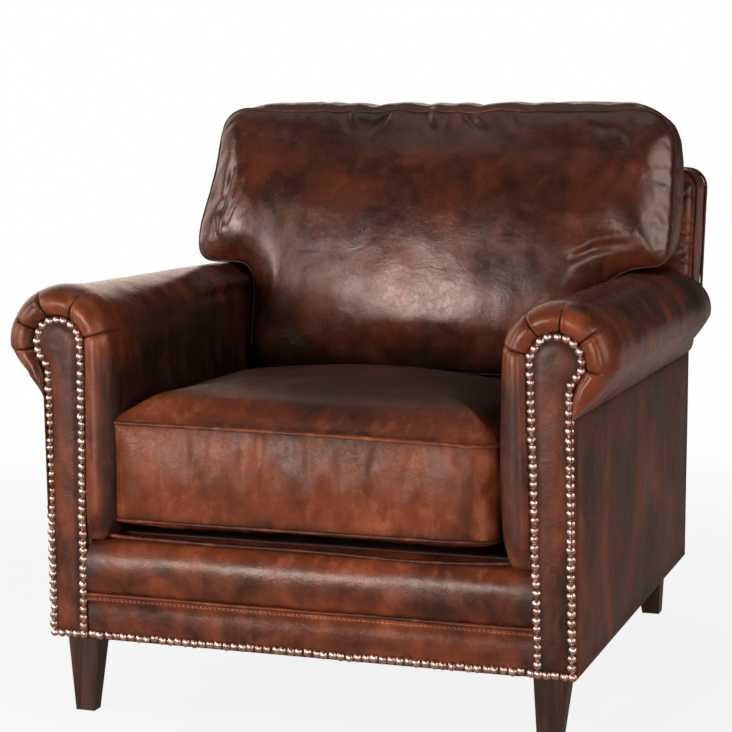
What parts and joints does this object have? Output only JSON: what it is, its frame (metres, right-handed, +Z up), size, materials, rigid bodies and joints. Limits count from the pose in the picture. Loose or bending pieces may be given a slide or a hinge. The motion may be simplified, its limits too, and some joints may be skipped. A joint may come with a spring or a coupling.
{
  "type": "club chair",
  "caption": "Worn leather club chair with rolled arms, nail-trimmed arm facings, a loose boxed seat cushion and a loose T-shaped back cushion, on tapered wooden legs.",
  "frame": {"origin": "on the floor, under the middle of the chair's outline", "axes": "+X to the right as seen from the front, +Y from the front to the back, +Z up; the seat faces -Y"},
  "size_m": [0.9, 0.9378, 0.91],
  "materials": {
    "leather": "waxed brown hide with a dark, cloudy patina, worn lighter on edges and crowns",
    "leather_dark": "darker waxed hide of the welts and the deck",
    "leg_wood": "dark stained hardwood under satin lacquer",
    "frame_wood": "plain sawn hardwood",
    "steel": "plain spring wire, clips and bolts",
    "nail": "domed nail heads, antique nickel with a copper tint",
    "foam": "polyurethane foam",
    "burlap": "plain woven jute",
    "dust_cloth": "black cambric"
  },
  "bodies": {
    "root": {"leg_front_left": "leg_wood", "leg_front_right": "leg_wood", "leg_back_left": "leg_wood", "leg_back_right": "leg_wood", "leg_bolt_front_left": "steel", "leg_bolt_front_right": "steel", "leg_bolt_back_left": "steel", "leg_bolt_back_right": "steel", "side_rail_left": "frame_wood", "side_rail_right": "frame_wood", "corner_block_front_left": "frame_wood", "corner_block_front_right": "frame_wood", "corner_block_back_left": "frame_wood", "corner_block_back_right": "frame_wood", "arm_stump_left": "frame_wood", "arm_stump_right": "frame_wood", "back_post_left": "frame_wood", "back_post_right": "frame_wood", "arm_rail_left": "frame_wood", "arm_rail_right": "frame_wood", "arm_tack_rail_left": "frame_wood", "arm_tack_rail_right": "frame_wood", "arm_cover_left": "leather", "arm_cover_right": "leather", "arm_pad_left": "foam", "arm_pad_right": "foam", "outside_arm_left": "leather", "outside_arm_right": "leather", "arm_facing_left": "leather", "arm_facing_right": "leather", "nail_row_left": "nail", "nail_row_right": "nail", "seat_spring_1": "steel", "seat_spring_2": "steel", "seat_spring_3": "steel", "seat_spring_4": "steel", "seat_spring_5": "steel", "back_top_rail": "frame_wood", "back_tack_rail": "frame_wood", "back_cover": "leather", "back_pad": "foam", "back_burlap": "burlap", "front_rail": "frame_wood", "back_rail": "frame_wood", "spring_clip_front": "steel", "spring_clip_back": "steel", "deck_pad": "foam", "deck_cover": "leather_dark", "front_edge_roll": "foam", "front_border_upper": "leather", "front_border_lower": "leather", "front_welt_lower": "leather_dark", "front_welt_upper": "leather_dark", "nail_row_front": "nail", "outside_back": "leather", "seat_cushion_core": "foam", "seat_cushion_cover": "leather", "back_cushion_core": "foam", "back_cushion_cover": "leather", "dust_cover": "dust_cloth"}
  },
  "joints": []
}
